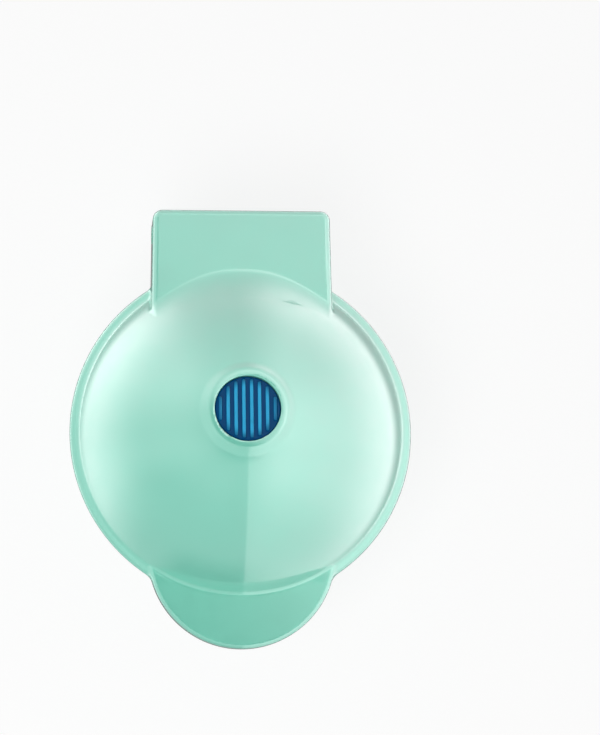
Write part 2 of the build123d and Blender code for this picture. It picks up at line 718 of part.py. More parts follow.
def make_upper_plate_screws():
    """Four screws that draw the upper plate against the lid liner."""
    under = lid_ring_top + shield_thickness
    tip = upper_flange_top - plate_thread_depth
    return [screw_down(x, y, under, tip) for x, y in plate_screw_places]


def make_lid_screws():
    """Four screws that hold the lid liner in the lid shell, heads below."""
    screws = []
    for x, y, face, roof in lid_screw_places:
        tip = min(roof - screw_skin - screw_tip_gap, face + screw_sink + lid_screw_length)
        screws.append(screw_up(x, y, face + screw_sink, tip))
    return screws


def make_hinge_pin(side):
    """Steel pin through one ear, carried by the lid block's rib and side wall."""
    inner, outer = sorted((side * (ear_inner_x - pin_tail), side * (cap_seat_x - seat_clearance)))
    return cross_rod(pin_radius, inner, outer, axis_y, axis_z)


def make_hinge_cap(side):
    """Small round cap that closes the pin's hole in the side of the lid block."""
    inner, outer = sorted((side * cap_seat_x, side * (block_side_x + cap_rise)))
    return cross_rod(cap_radius, inner, outer, axis_y, axis_z)


# ---------------------------------------------------------------- base
def bowl_body(depth):
    """Bowl and rim band of the base, a depth inside its outer faces."""
    low = base_bottom + depth
    top = base_rim + (1.0 if depth else 0.0)
    corner = base_bottom + bowl_corner_height
    mid_r = (bowl_floor_radius + bowl_side_radius) / 2 - depth + bowl_bulge_out
    mid_z = (low + corner) / 2 - bowl_bulge_down
    side_top = base_rim - rim_band_height
    with BuildLine(Plane.XZ) as outline:
        Line((0, low), (bowl_floor_radius - depth, low))
        ThreePointArc((bowl_floor_radius - depth, low), (mid_r, mid_z), (bowl_side_radius - depth, corner))
        Polyline(
            (bowl_side_radius - depth, corner),
            (rim_radius - bowl_top_inset - depth, side_top),
            (rim_radius - depth, side_top + bowl_top_inset),
            (rim_radius - depth, top),
            (0, top),
            (0, low),
        )
    return revolve(make_face(outline.line), Axis.Z)


def make_base_shell():
    """Outer moulding of the base: bowl, rim, handle tab and hinge block, open above."""
    plan = block_plan(base_block_inset, base_rear + base_block_inset, corner=block_corner)
    block = slab(plan, block_bottom, base_rim)
    block = fillet(outer_edges(block, 0, block_root), block_edge)
    tab = slab(handle_plan(base_handle_inset), base_handle_bottom, base_handle_top)
    tab = fillet(outer_edges(tab, 0, handle_root), handle_edge)
    shell = bowl_body(0) + block + tab
    deep = base_block_inset + wall
    hollow = bowl_body(wall)
    hollow += slab(block_plan(deep, base_rear + base_block_inset), block_bottom + wall, base_rim + 1)
    tab_inner = slab(handle_plan(base_handle_inset + wall), base_handle_bottom + wall, base_rim + 1)
    shell -= hollow + tab_inner
    for x, y, face, boss_top in base_screw_places:
        shell += disc(boss_radius, face + wall / 2, boss_top, x, y)
        shell -= screw_hole(x, y, face - 1, boss_top + 1)
        shell -= disc(screw_pocket_radius, face - 1, face + screw_sink, x, y)
    for x, y in foot_places:
        shell -= disc(foot_radius + seat_clearance, base_bottom - 1, base_bottom + foot_seat_depth, x, y)
    hole = inlet_body_radius + seat_clearance
    return shell - long_rod(hole, base_rear - wall - 1, base_rear + 1, 0, inlet_height)


def make_base_liner():
    """Cover that closes the base from above, seats the lower plate and carries the hinge ears."""
    liner = ring(rim_inner - drop_clearance, liner_ring_inner, base_ring_bottom, lower_flange_bottom)
    tab = handle_plan(base_handle_inset + wall + drop_clearance)
    block = block_plan(base_block_inset + wall + drop_clearance, base_rear + base_block_inset)
    inside = disc(rim_inner - 1.0, 0, base_rim + 1)
    cover_low = base_rim - wall
    liner += slab(tab, base_handle_top - liner_thickness, base_handle_top) - inside
    liner += slab(block, cover_low, base_rim) - inside
    for plan in (tab, block):
        liner += liner_strip(plan, rim_radius, wall + drop_clearance + liner_lap, base_ring_bottom, base_rim)
    for side in (-1, 1):
        near, far = sorted((side * ear_inner_x, side * (ear_inner_x + ear_width)))
        neck = (axis_y - ear_neck_half, axis_y + ear_neck_half)
        liner += bar((near, far), neck, (base_rim - wall, axis_z))
        liner += cross_rod(ear_radius, near, far, axis_y, axis_z)
        liner -= cross_rod(pin_radius + running_clearance, near, far, axis_y, axis_z)
    for x, y, face, boss_top in base_screw_places:
        if face == block_bottom:
            liner += disc(boss_radius, boss_top, base_rim - wall / 2, x, y)
            liner -= screw_hole(x, y, boss_top - 1, boss_top + column_screw_grip + 1)
        else:
            liner -= screw_hole(x, y, face, base_handle_top - handle_screw_skin)
    opening = ear_inner_x - lead_slot_margin
    neck = (axis_y - ear_neck_half, axis_y + ear_neck_half)
    liner -= bar((-opening, opening), neck, (cover_low - 1, base_rim + 1))
    for x, y in plate_screw_places:
        liner -= screw_hole(x, y, base_ring_bottom - 1, lower_flange_bottom + 1)
    return liner


def make_lower_plate():
    """Deep lower cooking plate: tapered well, rounded floor and mounting flange."""
    t = plate_thickness
    plate = turned(
        (0, well_floor),
        (well_floor_radius, well_floor),
        (well_top_radius, lower_flange_top),
        (plate_flange_radius, lower_flange_top),
        (plate_flange_radius, lower_flange_bottom),
        (well_top_radius + t, lower_flange_bottom),
        (well_floor_radius + t, lower_plate_back),
        (0, lower_plate_back),
    )
    for corner_radius in (well_floor_radius, well_floor_radius + t):
        circles = plate.edges().filter_by(GeomType.CIRCLE)
        corner = [edge for edge in circles if abs(edge.radius - corner_radius) < 0.01]
        plate = fillet(corner, well_floor_round)
    post_bottom = lower_plate_back - 2 * heater_tube_radius
    for x, y in clamp_post_places:
        plate += disc(clamp_post_radius, post_bottom, lower_plate_back, x, y)
        plate -= screw_hole(x, y, post_bottom, lower_plate_back)
    for x, y in plate_screw_places:
        hole_end = lower_flange_bottom + plate_thread_depth + plate_tip_gap
        plate -= screw_hole(x, y, lower_flange_bottom, hole_end)
    return plate


def make_lower_clamp_screws():
    """Four screws through the lower clamp into the plate's posts; two also hold the strap."""
    screws = []
    for x, y in clamp_post_places:
        under = lower_clamp_bottom - clamp_thickness if abs(x) > 1 else lower_clamp_bottom
        screws.append(screw_up(x, y, under, lower_plate_back - post_tip_gap))
    return screws


def make_base_heat_shield():
    """Pan under the lower heater, slotted at the back for the heater's ends and the leads."""
    depth = base_ring_bottom - shield_floor_bottom
    pan = shield_pan(base_ring_bottom, -1, depth, bowl_floor_radius - wall - shield_bowl_gap)
    half = heater_end_half_gap + heater_tube_radius + shield_slot_gap
    low = shield_floor_bottom + shield_thickness
    high = lower_heater_level + heater_tube_radius + shield_slot_gap
    return pan - bar((-half, half), (well_floor_radius - shield_slot_depth, skirt_radius), (low, high))


def make_lower_plate_screws():
    """Four screws that draw the lower plate onto the base liner."""
    under = base_ring_bottom - shield_thickness
    tip = lower_flange_bottom + plate_thread_depth
    return [screw_up(x, y, under, tip) for x, y in plate_screw_places]


def make_thermostat():
    """Round snap-action thermostat pressed against the underside of the lower plate."""
    low = lower_clamp_bottom
    body = disc(thermostat_radius, low, lower_plate_back - thermostat_step)
    body += disc(thermostat_radius - thermostat_step, low, lower_plate_back - seat_clearance)
    half = thermostat_blade_half_width
    blade = (low + thermostat_blade_thickness / 2, low + 1.5 * thermostat_blade_thickness)
    for side in (-1, 1):
        reach = sorted((side * (thermostat_radius - 1), side * (thermostat_radius + thermostat_blade_reach)))
        body += bar((-half, half), reach, blade)
    return body


def make_thermostat_bracket():
    """Steel strap under the thermostat, held by two of the clamp screws."""
    high = lower_clamp_bottom
    low = high - clamp_thickness
    half = clamp_post_circle + thermostat_strap_overhang
    width = thermostat_strap_width / 2
    strap = bar((-half, half), (-width, width), (low, high))
    for side in (-1, 1):
        strap -= screw_hole(side * clamp_post_circle, 0, low - 1, high + 1)
    return strap


def make_thermal_fuse():
    """Safety fuse that lies against the lower clamp."""
    half = fuse_length / 2
    body = cross_rod(fuse_radius, -half, half, fuse_y, fuse_level)
    wire_end = half + fuse_wire_length
    return body + cross_rod(fuse_wire_radius, -wire_end, wire_end, fuse_y, fuse_level)


def make_fuse_clip():
    """Bent strip that holds the fuse to the clamp."""
    half = fuse_clip_length / 2
    inner = fuse_radius + seat_clearance
    top = lower_clamp_bottom
    wings = (fuse_y - fuse_clip_reach, fuse_y + fuse_clip_reach)
    clip = cross_rod(inner + fuse_clip_wall, -half, half, fuse_y, fuse_level)
    clip += bar((-half, half), wings, (top - fuse_clip_wall, top))
    clip -= bar((-half - 1, half + 1), (fuse_y - inner, fuse_y + inner), (fuse_level, top + fuse_radius))
    clip -= bar((-half - 1, half + 1), wings, (top, top + fuse_radius + 1))
    return clip - cross_rod(inner, -half - 1, half + 1, fuse_y, fuse_level)


def make_cord_gland():
    """Bush in the back of the base block that the mains cord passes through."""
    back = base_rear - wall
    gland = long_rod(inlet_body_radius, back, base_rear + inlet_lip, 0, inlet_height)
    gland += long_rod(inlet_flange_radius, back - inlet_flange_thickness, back, 0, inlet_height)
    return gland - long_rod(inlet_bore_radius, axis_y, base_rear + 1, 0, inlet_height)


def make_base_screws():
    """Four screws that hold the base liner in the base shell, heads below."""
    screws = []
    for x, y, face, boss_top in base_screw_places:
        tip = base_handle_top - handle_screw_skin - screw_tip_gap
        if face == block_bottom:
            tip = boss_top + column_screw_grip
        screws.append(screw_up(x, y, face + screw_sink, tip))
    return screws


def make_rubber_feet():
    """Four feet in shallow seats under the bowl."""
    feet = []
    for x, y in foot_places:
        foot = disc(foot_radius, 0, base_bottom + foot_seat_depth, x, y)
        feet.append(chamfer(foot.edges().sort_by(Axis.Z)[0], foot_chamfer))
    return feet


# ---------------------------------------------------------------- wiring inside the housings
def crimp(x, z):
    """Crimped sleeve that joins a heater pin to its lead."""
    inner = heater_pin_radius + seat_clearance
    outer = inner + crimp_wall
    sleeve = long_rod(outer, crimp_start, crimp_start + crimp_length, x, z)
    return sleeve - long_rod(inner, crimp_start - 1, crimp_start + crimp_length + 1, x, z)


def make_base_leads():
    """Insulated leads in the base: from the cord inlet to the heater and up to the hinge."""
    gap = heater_end_half_gap
    level = lower_heater_level
    inlet_y = base_rear - wall - inlet_flange_thickness - lead_end_gap
    riser_low = inlet_height + riser_height
    hinge_end = axis_z - lead_radius - hinge_lead_gap
    leads = []
    for side in (-1, 1):
        leads.append(
            lead(
                (side * gap, lead_start, level),
                (side * gap, lead_start + lead_straight, level),
                (side * lead_half_gap, inlet_y - lead_straight, inlet_height),
                (side * lead_half_gap, inlet_y, inlet_height),
                bend=2.5,
            )
        )
        leads.append(
            lead(
                (side * riser_half_gap, inlet_y, riser_low),
                (side * riser_half_gap, axis_y - 1.0, riser_low),
                (side * hinge_lead_half_gap, axis_y, riser_low + riser_turn),
                (side * hinge_lead_half_gap, axis_y, hinge_end),
                bend=2.5,
            )
        )
    return leads


def make_lid_leads():
    """Insulated leads in the lid: from the hinge to the upper heater."""
    gap = heater_end_half_gap
    level = upper_heater_level
    start = axis_y - lead_radius - hinge_lead_gap
    leads = []
    for side in (-1, 1):
        leads.append(
            lead(
                (side * hinge_lead_half_gap, start, axis_z),
                (side * hinge_lead_half_gap, start - lid_lead_straight, axis_z),
                (side * gap, lead_start + lid_lead_straight, level),
                (side * gap, lead_start, level),
                bend=2.0,
            )
        )
    return leads


def crimps(level):
    """The pair of crimped sleeves on one heater."""
    return [crimp(side * heater_end_half_gap, level) for side in (-1, 1)]


# ---------------------------------------------------------------- assembly
nodes = {
    "base_shell": make_base_shell(),
    "base_liner": make_base_liner(),
    "lower_plate": make_lower_plate(),
    "lower_heater": heater(lower_heater_ring, lower_heater_level),
    "lower_heater_clamp": clamp_disc(lower_heater_ring, lower_clamp_bottom),
    "lower_clamp_screws": make_lower_clamp_screws(),
    "base_heat_shield": make_base_heat_shield(),
    "lower_plate_screws": make_lower_plate_screws(),
    "thermostat": make_thermostat(),
    "thermostat_bracket": make_thermostat_bracket(),
    "thermal_fuse": make_thermal_fuse(),
    "fuse_clip": make_fuse_clip(),
    "base_leads": make_base_leads(),
    "base_crimps": crimps(lower_heater_level),
    "cord_gland": make_cord_gland(),
    "base_screws": make_base_screws(),
    "rubber_feet": make_rubber_feet(),
    "lid_shell": make_lid_shell(),
    "lid_liner": make_lid_liner(),
    "upper_plate": make_upper_plate(),
    "upper_heater": heater(upper_heater_ring, upper_heater_level),
    "upper_heater_clamp": clamp_disc(upper_heater_ring, upper_clamp_bottom),
    "upper_clamp_screws": make_upper_clamp_screws(),
    "lid_heat_shield": make_lid_heat_shield(),
    "upper_plate_screws": make_upper_plate_screws(),
    "indicator_lens": make_indicator_lens(),
    "lamp_holder": make_lamp_holder(),
    "lamp_holder_screws": make_lamp_holder_screws(),
    "pilot_lamp": make_pilot_lamp(),
    "lid_leads": make_lid_leads(),
    "lid_crimps": crimps(upper_heater_level),
    "lid_screws": make_lid_screws(),
    "hinge_pin_left": make_hinge_pin(-1),
    "hinge_pin_right": make_hinge_pin(1),
    "hinge_cap_left": make_hinge_cap(-1),
    "hinge_cap_right": make_hinge_cap(1),
}

os.makedirs("parts", exist_ok=True)
for name, piece in nodes.items():
    pieces = piece if isinstance(piece, list) else [piece]
    solids = [solid for item in pieces for solid in item.solids()]
    export_step(Compound(children=solids), f"parts/{name}.step")
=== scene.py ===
from math import asin, cos, pi, radians, sin, sqrt, tan

import bpy
import numpy as np
from mathutils import Matrix, Vector


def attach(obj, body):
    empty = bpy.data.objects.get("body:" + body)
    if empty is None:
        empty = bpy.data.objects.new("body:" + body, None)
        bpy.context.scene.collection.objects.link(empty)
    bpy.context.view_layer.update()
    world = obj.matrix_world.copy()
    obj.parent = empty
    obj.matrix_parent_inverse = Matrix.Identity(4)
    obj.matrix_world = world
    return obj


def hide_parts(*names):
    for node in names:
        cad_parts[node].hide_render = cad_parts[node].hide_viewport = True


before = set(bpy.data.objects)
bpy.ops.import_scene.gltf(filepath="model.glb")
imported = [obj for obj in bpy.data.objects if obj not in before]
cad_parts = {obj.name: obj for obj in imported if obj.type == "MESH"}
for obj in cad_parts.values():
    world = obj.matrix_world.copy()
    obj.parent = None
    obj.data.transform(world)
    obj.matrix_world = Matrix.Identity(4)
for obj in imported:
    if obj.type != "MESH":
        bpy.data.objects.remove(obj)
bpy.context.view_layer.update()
MM = 0.001

# ---------------------------------------------------------------- sizes of the lid, in millimetres
WALL = 2.5
OVERLAP = 1.0  # margin at the ends of forms that lie hidden in others
NO_BLEND = 1e-6
LOW_EDGE, CUT_EDGE = 0.5, 0.4
INNER_CORNER = 1.0
BRIM_RADIUS = 63.5
BRIM_LOW, BRIM_HIGH = 58.5, 61.5
BRIM_ROUND, BRIM_EDGE, BRIM_BLEND = 1.35, 1.0, 1.0
BRIM_FALL = 0.2  # for each millimetre outward from the dome's foot
SKIRT_RADIUS, SKIRT_BLEND = 61.0, 0.3
LID_LOW = 52.5
DOME_TOP = 96.0
DOME_FOOT = 60.3
DOME_RISE = DOME_TOP - BRIM_HIGH
DOME_RADIUS = (DOME_FOOT**2 + DOME_RISE**2) / (2 * DOME_RISE)
DOME_CENTRE = DOME_TOP - DOME_RADIUS
REAR, FRONT = 82.2, 80.07
BLOCK_HALF = 33.0
BLOCK_DRAFT = tan(radians(0.9))
BLOCK_TOP = 70.0
BLOCK_CORNER, BLOCK_EDGE = 3.5, 2.0
BLOCK_ROOT, TAB_ROOT = 30, -20
REAR_BLEND, REAR_BLEND_LOSS, REAR_BLEND_FROM = 7.5, 3.5, 6
DOME_GAIN = 1.7  # shortens that blend's reach over the block's top, not up the dome
SIDE_BLEND, SIDE_BLEND_RUN = 1.4, 2.0
HEEL = 8.0
AXIS_Y, AXIS_Z = REAR - HEEL, LID_LOW + HEEL
COVER_REAR = AXIS_Y - HEEL + 1.5 * WALL
TAB_RADIUS = 34.5
TAB_LOW, TAB_HIGH = 55.0, 62.3
TAB_EDGE, TAB_TOP_BLEND = 1.5, 1.0
TAB_BLEND, TAB_CORNER_BLEND, TAB_BLEND_RUN = 1.0, 0.8, 1.5
TAB_CORNERS = (24, 31)  # from where to where beside the middle the tab's blend widens
NECK_HALF, SWING_GAP = 4.0, 0.4  # neck of the hinge's ears, and the room it has in the slot
BEYOND_UPRIGHT = radians(10)  # by which the lid opens further than 90 degrees
SLOT_HALF = 16.5
SLOT_FRONT = AXIS_Y - (NECK_HALF + SWING_GAP)
SLOT_TOP = AXIS_Z + HEEL * tan(BEYOND_UPRIGHT) + (NECK_HALF / cos(BEYOND_UPRIGHT) + SWING_GAP)
CHEEK_NEAR, CHEEK_FAR, CHEEK_SINK = 16.6, 19.6, 0.5  # ribs beside the slot
CAP_BORE, CAP_DEPTH = 3.45, 1.2  # radius and depth of the bores for the hinge's caps
CAP_SEAT = BLOCK_HALF + HEEL * BLOCK_DRAFT - CAP_DEPTH
WINDOW_Y = 4.0
WINDOW_LEAN = asin(WINDOW_Y / DOME_RADIUS)
LENS_RADIUS, LENS_EDGE = 11.8, 0.7
COLLAR_INNER = LENS_RADIUS + 0.05
COLLAR_TOP_RADIUS = COLLAR_INNER + 1.7
COLLAR_OUTER = COLLAR_TOP_RADIUS + 4.3
COLLAR_RISE, COLLAR_EDGE, BORE_EDGE = 0.9, 0.5, 0.45
COLLAR_SWELL, SWELL_SHARE, SWELL_LEAN = 1.3, 0.72, 0.28
SWELL_INNER, SWELL_OUTER = COLLAR_TOP_RADIUS - 0.1, COLLAR_OUTER - 0.3
COLLAR_TOWARDS = (cos(radians(60)), sin(radians(60)))
COLLAR_TOP = DOME_CENTRE + sqrt(DOME_RADIUS**2 - COLLAR_TOP_RADIUS**2) + COLLAR_RISE
LENS_FACE = COLLAR_TOP - 1.2
LENS_SEAT = LENS_FACE - 3.4
LENS_FLANGE, FLANGE_DEPTH = LENS_RADIUS + 2.1, 1.5
RIBS, RIB_PITCH, RIB_HALF, RIB_HEIGHT, RIB_REACH = 8, 2.82, 0.68, 0.48, 10.8
RIB_END, RIB_EDGE, RIB_BLEND = 0.6, 0.35, 0.3


# ------------------------------------------------------------ forms: signed fields, negative inside
def joined(a, b, r):
    """Union of two fields with a concave blend of size r."""
    near = np.maximum(1 - np.abs(a - b) / r, 0)
    return np.minimum(a, b) - near * near * r / 4


def common(a, b, r):
    """Intersection of two fields with an edge rounded to radius r."""
    return np.minimum(-r, np.maximum(a, b)) + np.hypot(np.maximum(r + a, 0), np.maximum(r + b, 0))


def smooth_step(value, low, high):
    share = np.clip((value - low) / (high - low), 0, 1)
    return share * share * (3 - 2 * share)


def dome_field(x, y, z, depth=0.0):
    return np.sqrt(x * x + y * y + (z - DOME_CENTRE) ** 2) - (DOME_RADIUS - depth)


def block_plan(x, y, inset=0.0, rear=REAR, corner=BLOCK_CORNER):
    half = BLOCK_HALF - inset + (REAR - y) * BLOCK_DRAFT
    return common(np.abs(x) - half, y - rear + inset, corner)


def tab_plan(x, y, inset=0.0):
    return np.hypot(x, np.minimum(y + FRONT - TAB_RADIUS, 0)) - (TAB_RADIUS - inset)


def window_axes(x, y, z):
    """Distance from the window's axis, and height along it."""
    c, s = cos(WINDOW_LEAN), sin(WINDOW_LEAN)
    height = z - DOME_CENTRE
    return np.hypot(x, y * c - height * s), y * s + height * c + DOME_CENTRE


def collared_dome(x, y, z):
    """Dome that swells softly into the collar round the window, more on one side."""
    out, up = window_axes(x, y, z)
    facing = (x * COLLAR_TOWARDS[0] + (y - WINDOW_Y) * COLLAR_TOWARDS[1]) / np.maximum(out, 1)
    rise = COLLAR_SWELL * (SWELL_SHARE + SWELL_LEAN * facing)
    swollen = dome_field(x, y, z) - rise * (1 - smooth_step(out, SWELL_INNER, SWELL_OUTER))
    cut = common(swollen, up - COLLAR_TOP, COLLAR_EDGE)
    return np.where(out < COLLAR_OUTER + OVERLAP, cut, swollen)


def lid_outer(x, y, z):
    """Lid's outer form with the blends of the moulding."""
    radius, beside = np.hypot(x, y), np.abs(x)
    dome = dome_field(x, y, z)
    brim_top = z - BRIM_HIGH + BRIM_FALL * np.maximum(radius - DOME_FOOT, 0)
    brim_slab = common(brim_top, BRIM_LOW - z, BRIM_EDGE)
    brim = common(radius - BRIM_RADIUS, brim_slab, BRIM_ROUND)
    skirt = np.maximum(radius - SKIRT_RADIUS, z - BRIM_HIGH + OVERLAP)
    above = np.maximum(collared_dome(x, y, z), BRIM_LOW + OVERLAP - z)
    form = joined(above, brim, BRIM_BLEND)
    form = joined(form, common(skirt, LID_LOW - z, LOW_EDGE), SKIRT_BLEND)
    top_blend = REAR_BLEND - REAR_BLEND_LOSS * smooth_step(beside, REAR_BLEND_FROM, BLOCK_HALF)
    top = joined(z - BLOCK_TOP, DOME_GAIN * dome, top_blend)
    block = common(block_plan(x, y), top, BLOCK_EDGE)
    block = np.maximum(block, common(y - REAR, LID_LOW - z, HEEL))
    block = np.maximum(block, BLOCK_ROOT - y)
    side_blend = SIDE_BLEND * smooth_step(dome - top, 0.0, SIDE_BLEND_RUN)
    form = joined(form, block, side_blend + NO_BLEND)
    tab_top = joined(z - TAB_HIGH, dome, TAB_TOP_BLEND)
    tab = common(tab_plan(x, y), tab_top, TAB_EDGE)
    tab = np.maximum(common(tab, TAB_LOW - z, LOW_EDGE), y - TAB_ROOT)
    tab_blend = TAB_BLEND + TAB_CORNER_BLEND * smooth_step(beside, *TAB_CORNERS)
    tab_blend = tab_blend * smooth_step(dome - tab_top, 0.0, TAB_BLEND_RUN)
    return joined(form, tab, tab_blend + NO_BLEND)


def lid_cavity(x, y, z):
    """Hollow of the lid, open below."""
    radius = np.hypot(x, y)
    main = np.maximum(dome_field(x, y, z, WALL), radius - (SKIRT_RADIUS - WALL))
    heel = common(y - REAR + WALL, LID_LOW + WALL - z, HEEL - WALL)
    back = np.maximum(block_plan(x, y, WALL, corner=INNER_CORNER), z - BLOCK_TOP + WALL)
    back = np.maximum(np.maximum(back, heel), BLOCK_ROOT - y)
    cover = np.maximum(block_plan(x, y, WALL, COVER_REAR, INNER_CORNER), z - AXIS_Z)
    cover = np.maximum(cover, BLOCK_ROOT - y)
    tab = np.maximum(tab_plan(x, y, WALL), z - TAB_HIGH + WALL)
    hollow = np.minimum(np.minimum(main, back), cover)
    return np.minimum(hollow, np.maximum(tab, y - TAB_ROOT))


def lid_field(x, y, z):
    """Lid with its hollow, the window's seat, and the slot and bores of the hinge."""
    out, up = window_axes(x, y, z)
    outer = lid_outer(x, y, z)
    form = common(outer, -lid_cavity(x, y, z), CUT_EDGE)
    pad = np.maximum(LENS_SEAT - up, up - LENS_SEAT - WALL)
    form = np.minimum(form, np.maximum(out - LENS_FLANGE - WALL, pad))
    bore = np.maximum(out - COLLAR_INNER, LENS_SEAT - OVERLAP - up)
    form = common(form, -bore, BORE_EDGE)
    beside = np.abs(x)
    cheeks = np.maximum(CHEEK_NEAR - beside, beside - CHEEK_FAR)
    cheeks = np.maximum(cheeks, AXIS_Y - HEEL + WALL / 2 - y)
    form = np.minimum(form, np.maximum(cheeks, outer + CHEEK_SINK))
    slot = np.maximum(np.maximum(beside - SLOT_HALF, SLOT_FRONT - y), z - SLOT_TOP)
    form = common(form, -slot, CUT_EDGE)
    turned = np.hypot(y - AXIS_Y, z - AXIS_Z)
    return np.maximum(form, -np.maximum(turned - CAP_BORE, CAP_SEAT - beside))


def lens_field(x, y, z):
    """Ribbed window with a flange behind the collar's bore."""
    out, up = window_axes(x, y, z)
    face = common(out - LENS_RADIUS, up - LENS_FACE, LENS_EDGE)
    form = np.minimum(face, np.maximum(out - LENS_FLANGE, up - LENS_SEAT))
    for number in range(RIBS):
        place = (number - (RIBS - 1) / 2) * RIB_PITCH
        along = np.abs(y - WINDOW_Y) - sqrt(RIB_REACH**2 - place**2)
        plan = common(np.abs(x - place) - RIB_HALF, along, RIB_END)
        rib = common(plan, up - LENS_FACE - RIB_HEIGHT, RIB_EDGE)
        form = joined(form, np.maximum(rib, LENS_FACE - OVERLAP - up), RIB_BLEND)
    return np.maximum(form, LENS_SEAT - FLANGE_DEPTH - up)


# ---------------------------------------------------------------- fields to meshes
SLAB = 8  # levels of the grid that are reckoned at once
DRAWS, LEAST_STEEPNESS = 5, 0.2
def slopes(field, points, h=0.02):
    """Gradient of a field at some points."""
    result = np.empty_like(points)
    for axis in range(3):
        shift = np.zeros(3)
        shift[axis] = h
        result[:, axis] = field(*(points + shift).T) - field(*(points - shift).T)
    return result / (2 * h)


def net(field, low, high, step):
    """Closed quad mesh of a field's zero level: a point in each crossed cell, drawn onto it."""
    axes = [np.arange(a, b + step, step) for a, b in zip(low, high)]
    x, y, z = np.meshgrid(*axes, indexing="ij", sparse=True)
    values = np.empty([len(axis) for axis in axes])
    for start in range(0, values.shape[2], SLAB):
        values[:, :, start:start + SLAB] = field(x, y, z[:, :, start:start + SLAB])
    inside = values < 0
    shape = tuple(size - 1 for size in values.shape)
    strides = np.array([shape[1] * shape[2], shape[2], 1])
    total = np.prod(shape)
    sums, counts, quads = np.zeros((total, 3)), np.zeros(total), []
    for axis in range(3):
        near = [slice(None)] * 3
        far = [slice(None)] * 3
        near[axis], far[axis] = slice(None, -1), slice(1, None)
        near, far = tuple(near), tuple(far)
        cells = np.argwhere(inside[near] != inside[far])
        a = values[near][tuple(cells.T)]
        b = values[far][tuple(cells.T)]
        place = cells.astype(float)
        place[:, axis] += a / (a - b)
        u, v = (axis + 1) % 3, (axis + 2) % 3
        base = cells @ strides
        ring = (base - strides[u] - strides[v], base - strides[v], base, base - strides[u])
        around = np.stack(ring, 1)
        for corner in range(4):
            counts += np.bincount(around[:, corner], minlength=total)
            for k in range(3):
                sums[:, k] += np.bincount(around[:, corner], weights=place[:, k], minlength=total)
        leaving = (a < 0)[:, None]
        quads.append(np.where(leaving, around, around[:, ::-1]))
    used = np.flatnonzero(counts)
    points = np.array(low) + sums[used] / counts[used, None] * step
    number = np.full(total, -1)
    number[used] = np.arange(len(used))
    for _ in range(DRAWS):
        slope = slopes(field, points)
        steepness = np.maximum((slope**2).sum(1, keepdims=True), LEAST_STEEPNESS)
        move = field(*points.T)[:, None] * slope / steepness
        points -= np.clip(move, -step / 2, step / 2)
    return points, number[np.concatenate(quads)]


def moulded(name, field, low, high, step):
    """Object made from a field, shaded with the field's own normals."""
    points, quads = net(field, low, high, step)
    mesh = bpy.data.meshes.new(name)
    mesh.vertices.add(len(points))
    mesh.vertices.foreach_set("co", (points * MM).ravel())
    mesh.loops.add(quads.size)
    mesh.loops.foreach_set("vertex_index", quads.ravel())
    mesh.polygons.add(len(quads))
    mesh.polygons.foreach_set("loop_start", np.arange(0, quads.size, 4))
    mesh.update(calc_edges=True)
    mesh.validate()
    mesh.shade_smooth()
    normals = slopes(field, points)
    normals /= np.linalg.norm(normals, axis=1, keepdims=True)
    mesh.normals_split_custom_set_from_vertices(normals)
    piece = bpy.data.objects.new(name, mesh)
    bpy.context.collection.objects.link(piece)
    return piece


# ---------------------------------------------------------------- camera
TILT, LEFT, ROLL = radians(9.0713), radians(5.3870), radians(-0.5769)
AIM = Vector((21.563, 23.406, 65.796)) * MM
DISTANCE = 0.9
FOCUS_PIXELS, LONG_SIDE = 2425.2, 735
SENSOR = 36
towards = Vector((-sin(LEFT), -sin(TILT) * cos(LEFT), cos(TILT) * cos(LEFT)))
up = Vector((0, 1, 0)) - towards * towards.y
up.normalize()
right = up.cross(towards)
across = right * cos(ROLL) + up * sin(ROLL)
upright = up * cos(ROLL) - right * sin(ROLL)
camera_data = bpy.data.cameras.new("camera")
camera_data.sensor_width = SENSOR
camera_data.lens = FOCUS_PIXELS * SENSOR / LONG_SIDE
camera_data.clip_start, camera_data.clip_end = 0.05, 20
camera = bpy.data.objects.new("camera", camera_data)
camera.matrix_world = Matrix.Translation(AIM + towards * DISTANCE) @ Matrix(
    (across, upright, towards)).transposed().to_4x4()
bpy.context.collection.objects.link(camera)
bpy.context.scene.camera = camera


